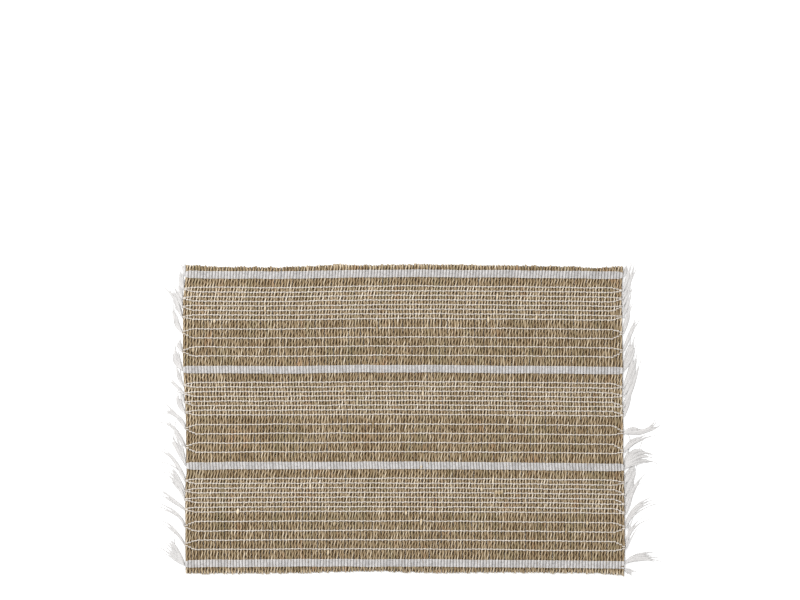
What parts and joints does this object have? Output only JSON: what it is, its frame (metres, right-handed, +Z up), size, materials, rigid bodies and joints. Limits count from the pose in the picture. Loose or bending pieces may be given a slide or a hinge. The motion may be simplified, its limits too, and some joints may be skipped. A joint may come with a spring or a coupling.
{
  "type": "seagrass placemat",
  "caption": "Flat woven placemat of twisted seagrass cords bound by white cotton warps, with knotted tassels along both short sides.",
  "frame": {"origin": "middle of the mat's flat underside", "axes": "+X along the long side, +Y along the seagrass cords, +Z up out of the mat"},
  "size_m": [0.5683, 0.3589, 0.0042],
  "materials": {
    "seagrass": "dry twisted seagrass cord, matt with a slight sheen",
    "cotton": "soft matt white cotton yarn"
  },
  "bodies": {
    "root": {"mat": "seagrass", "tassel_left_01": "cotton", "tassel_left_02": "cotton", "tassel_left_03": "cotton", "tassel_left_04": "cotton", "tassel_left_05": "cotton", "tassel_left_06": "cotton", "tassel_left_07": "cotton", "tassel_left_08": "cotton", "tassel_left_09": "cotton", "tassel_left_10": "cotton", "tassel_left_11": "cotton", "tassel_left_12": "cotton", "tassel_left_13": "cotton", "tassel_left_14": "cotton", "tassel_left_15": "cotton", "tassel_left_16": "cotton", "tassel_left_17": "cotton", "tassel_left_18": "cotton", "tassel_left_19": "cotton", "tassel_left_20": "cotton", "tassel_left_21": "cotton", "tassel_left_22": "cotton", "tassel_right_01": "cotton", "tassel_right_02": "cotton", "tassel_right_03": "cotton", "tassel_right_04": "cotton", "tassel_right_05": "cotton", "tassel_right_06": "cotton", "tassel_right_07": "cotton", "tassel_right_08": "cotton", "tassel_right_09": "cotton", "tassel_right_10": "cotton", "tassel_right_11": "cotton", "tassel_right_12": "cotton", "tassel_right_13": "cotton", "tassel_right_14": "cotton", "tassel_right_15": "cotton", "tassel_right_16": "cotton", "tassel_right_17": "cotton", "tassel_right_18": "cotton", "tassel_right_19": "cotton", "tassel_right_20": "cotton", "tassel_right_21": "cotton", "tassel_right_22": "cotton", "tassel_right_23": "cotton"}
  },
  "joints": []
}
